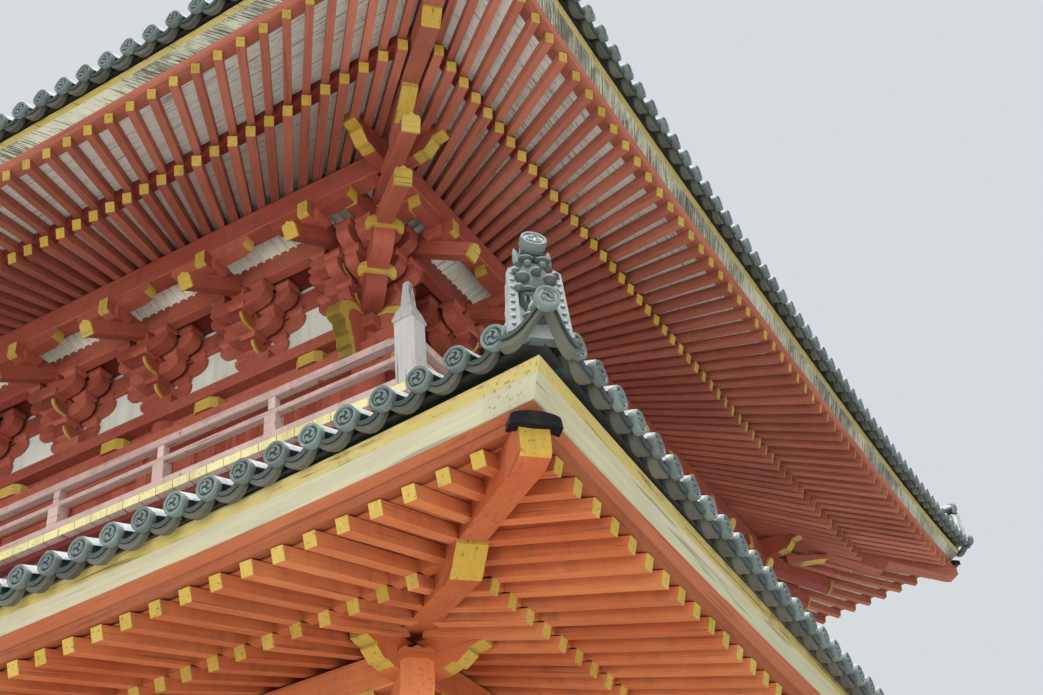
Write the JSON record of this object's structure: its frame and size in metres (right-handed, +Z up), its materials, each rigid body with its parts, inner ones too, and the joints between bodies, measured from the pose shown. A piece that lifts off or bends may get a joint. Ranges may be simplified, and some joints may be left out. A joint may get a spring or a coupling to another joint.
{
  "type": "two-storey square pagoda",
  "caption": "Square two-storey pagoda with stone platform, bracketed eaves, curved tiled roofs, railed balcony and tall ringed finial.",
  "frame": {"origin": "middle of the platform's underside, on the ground", "axes": "+Z up, -Y out of the front, +X to the right seen from the front"},
  "size_m": [14.9744, 14.9744, 21.83],
  "materials": {
    "stone": "rough, weathered",
    "vermilion_wood": "matt painted, faded",
    "dark_red_wood": "matt painted, weathered",
    "cream_board": "matt painted, peeling",
    "roof_tile": "smoked clay, worn pale at the edges",
    "pale_wood": "bare, weathered",
    "bronze": "dull, with verdigris"
  },
  "bodies": {
    "root": {"stone_platform": "stone", "front_steps": "stone", "right_steps": "stone", "back_steps": "stone", "left_steps": "stone", "lower_columns": "dark_red_wood", "front_lower_wall": "vermilion_wood", "right_lower_wall": "vermilion_wood", "back_lower_wall": "vermilion_wood", "left_lower_wall": "vermilion_wood", "front_lower_door": "dark_red_wood", "right_lower_door": "dark_red_wood", "back_lower_door": "dark_red_wood", "left_lower_door": "dark_red_wood", "lower_brackets": "vermilion_wood", "lower_rafters": "vermilion_wood", "lower_eave_board": "cream_board", "lower_roof": "roof_tile", "lower_ridge_front_right": "roof_tile", "lower_ridge_back_right": "roof_tile", "lower_ridge_back_left": "roof_tile", "lower_ridge_front_left": "roof_tile", "upper_columns": "dark_red_wood", "front_upper_wall": "dark_red_wood", "right_upper_wall": "dark_red_wood", "back_upper_wall": "dark_red_wood", "left_upper_wall": "dark_red_wood", "front_upper_door": "dark_red_wood", "right_upper_door": "dark_red_wood", "back_upper_door": "dark_red_wood", "left_upper_door": "dark_red_wood", "upper_brackets": "dark_red_wood", "upper_rafters": "dark_red_wood", "upper_eave_board": "cream_board", "upper_roof": "roof_tile", "upper_ridge_front_right": "roof_tile", "upper_ridge_back_right": "roof_tile", "upper_ridge_back_left": "roof_tile", "upper_ridge_front_left": "roof_tile", "balcony_beams": "dark_red_wood", "balcony_floor": "pale_wood", "balcony_rail": "pale_wood", "finial_box": "bronze", "finial": "bronze"}
  },
  "joints": []
}
